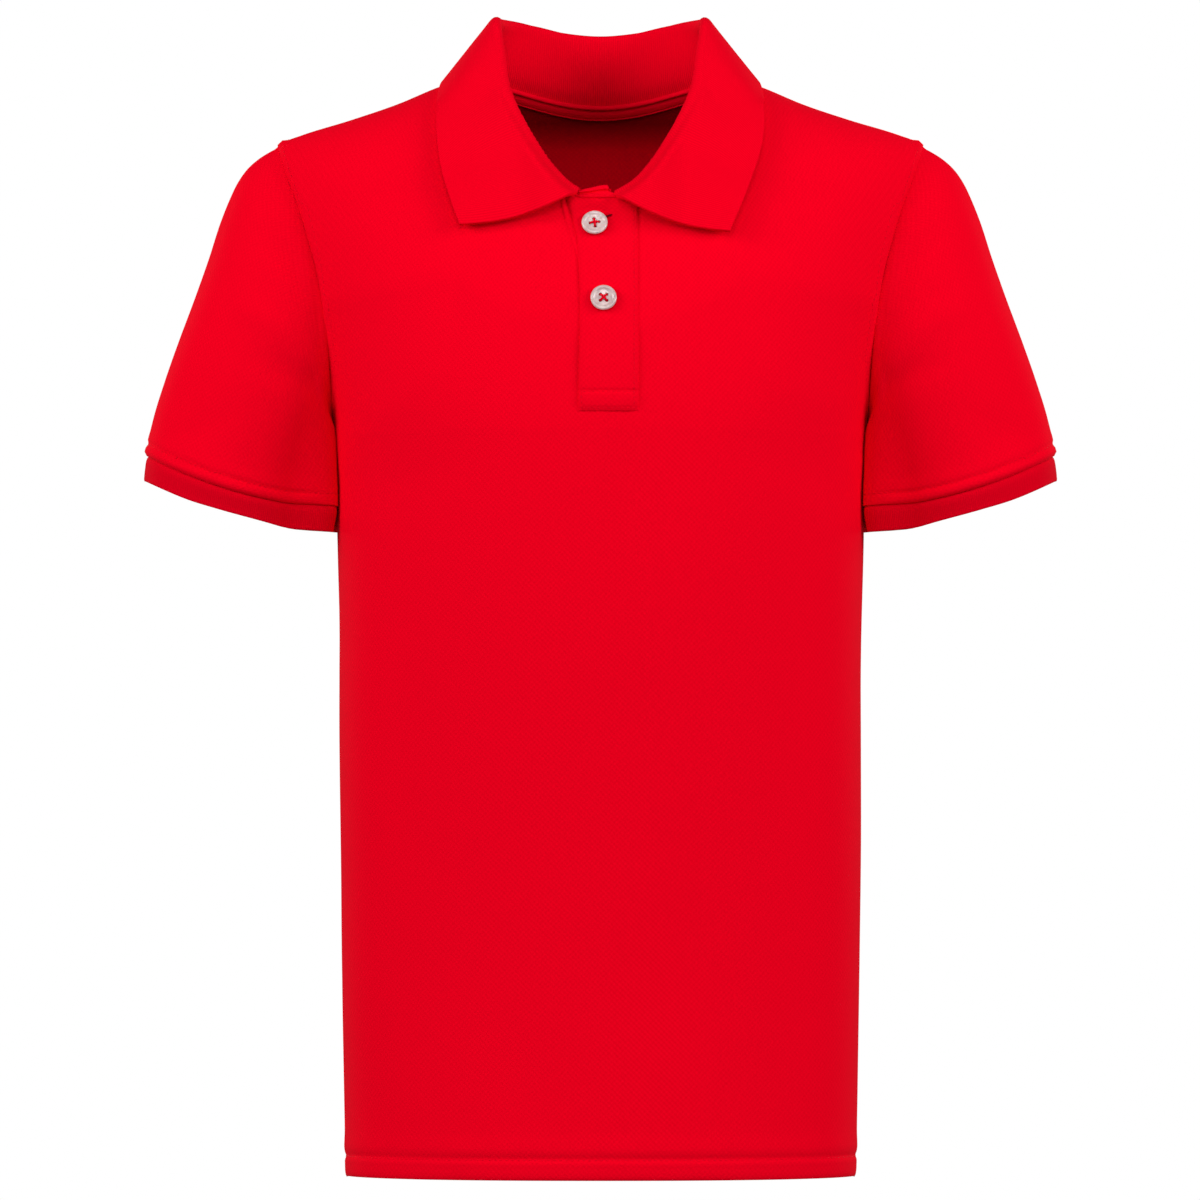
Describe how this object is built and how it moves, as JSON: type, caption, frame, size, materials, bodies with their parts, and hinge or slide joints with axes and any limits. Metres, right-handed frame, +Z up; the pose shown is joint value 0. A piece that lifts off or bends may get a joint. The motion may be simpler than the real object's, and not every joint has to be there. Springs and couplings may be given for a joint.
{
  "type": "polo shirt",
  "caption": "Child's short-sleeved red polo shirt in pique knit, filled out with no wearer, its collar folded down and its buttoned opening closed.",
  "frame": {"origin": "midway between the two high points of the shoulders, on the shoulder seams, where the wearer carries the shirt", "axes": "+Z up along the wearer's spine, -Y out of the shirt's front, +X towards the wearer's left sleeve"},
  "size_m": [0.4556, 0.1827, 0.5804],
  "materials": {
    "knit": "red cotton pique knit, matt",
    "ribbed_knit": "red flat knit with a fine rib, matt",
    "woven_tape": "red woven cotton tape, matt",
    "button_plastic": "pale pearly plastic, polished"
  },
  "bodies": {
    "root": {"front": "knit", "back": "knit", "sleeve_left": "knit", "sleeve_right": "knit", "placket_top": "knit", "placket_under": "knit", "cuff_left": "ribbed_knit", "cuff_right": "ribbed_knit", "collar": "ribbed_knit", "neck_tape": "woven_tape", "button_top": "button_plastic", "button_lower": "button_plastic"}
  },
  "joints": []
}
